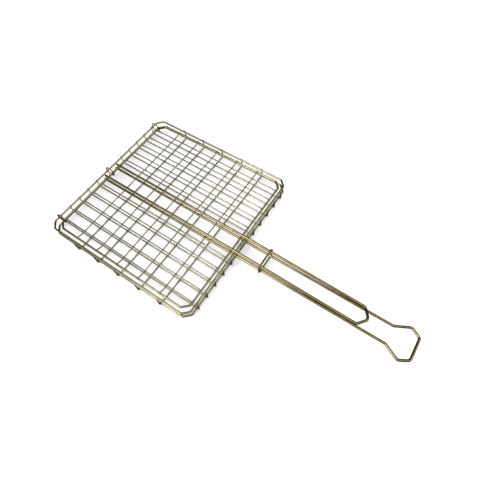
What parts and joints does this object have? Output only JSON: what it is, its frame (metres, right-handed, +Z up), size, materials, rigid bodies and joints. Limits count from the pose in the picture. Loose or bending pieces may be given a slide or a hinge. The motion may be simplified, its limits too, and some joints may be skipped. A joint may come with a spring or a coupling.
{
  "type": "grill basket",
  "caption": "Hinged wire grill basket: a shallow square tray and a flat lid, each with a long looped handle, joined by wire rings and locked by a sliding ring.",
  "frame": {"origin": "middle of the footprint of the whole closed basket, handle included, on the surface the tray rests on", "axes": "+X along the handles towards their tips, +Z up out of the lid, +Y across the basket"},
  "size_m": [0.6164, 0.3106, 0.0326],
  "materials": {
    "grid_wire": "bright drawn wire with a thin pale gold plating",
    "frame_wire": "bright drawn wire with a thin pale gold plating",
    "handle_wire": "bright drawn wire with a thin pale gold plating, darker where handled",
    "ring_wire": "bright drawn wire with a thin gold plating"
  },
  "bodies": {
    "base": {"base_rim": "frame_wire", "base_lower_ring": "frame_wire", "base_long_wire_1": "grid_wire", "base_long_wire_2": "grid_wire", "base_long_wire_3": "grid_wire", "base_long_wire_4": "grid_wire", "base_long_wire_5": "grid_wire", "base_long_wire_6": "grid_wire", "base_long_wire_7": "grid_wire", "base_long_wire_8": "grid_wire", "base_long_wire_9": "grid_wire", "base_long_wire_10": "grid_wire", "base_cross_wire_1": "grid_wire", "base_cross_wire_2": "grid_wire", "base_cross_wire_3": "grid_wire", "base_cross_wire_4": "grid_wire", "base_cross_wire_5": "grid_wire", "base_handle": "handle_wire"},
    "hinge_rings": {"hinge_ring_1": "ring_wire", "hinge_ring_2": "ring_wire", "hinge_ring_3": "ring_wire"},
    "lid": {"lid_frame": "frame_wire", "lid_long_wire_1": "grid_wire", "lid_long_wire_2": "grid_wire", "lid_long_wire_3": "grid_wire", "lid_long_wire_4": "grid_wire", "lid_long_wire_5": "grid_wire", "lid_long_wire_6": "grid_wire", "lid_long_wire_7": "grid_wire", "lid_long_wire_8": "grid_wire", "lid_long_wire_9": "grid_wire", "lid_long_wire_10": "grid_wire", "lid_cross_wire_1": "grid_wire", "lid_cross_wire_2": "grid_wire", "lid_cross_wire_3": "grid_wire", "lid_cross_wire_4": "grid_wire", "lid_cross_wire_5": "grid_wire", "lid_handle": "handle_wire"},
    "lock": {"lock_ring": "ring_wire"}
  },
  "joints": [
    {"name": "hinge_ring_turn", "type": "hinge", "parent": "base", "child": "hinge_rings", "pos_m": [-0.30352, 0, 0.0223], "axis": [0, -1, 0], "range_deg": [0, 90]},
    {"name": "lid_turn", "type": "hinge", "parent": "hinge_rings", "child": "lid", "pos_m": [-0.29222, 0, 0.0223], "axis": [0, -1, 0], "range_deg": [0, 92]},
    {"name": "lock_ring_slide", "type": "slide", "parent": "base", "child": "lock", "axis": [1, 0, 0], "range_m": [0, 0.205]}
  ]
}
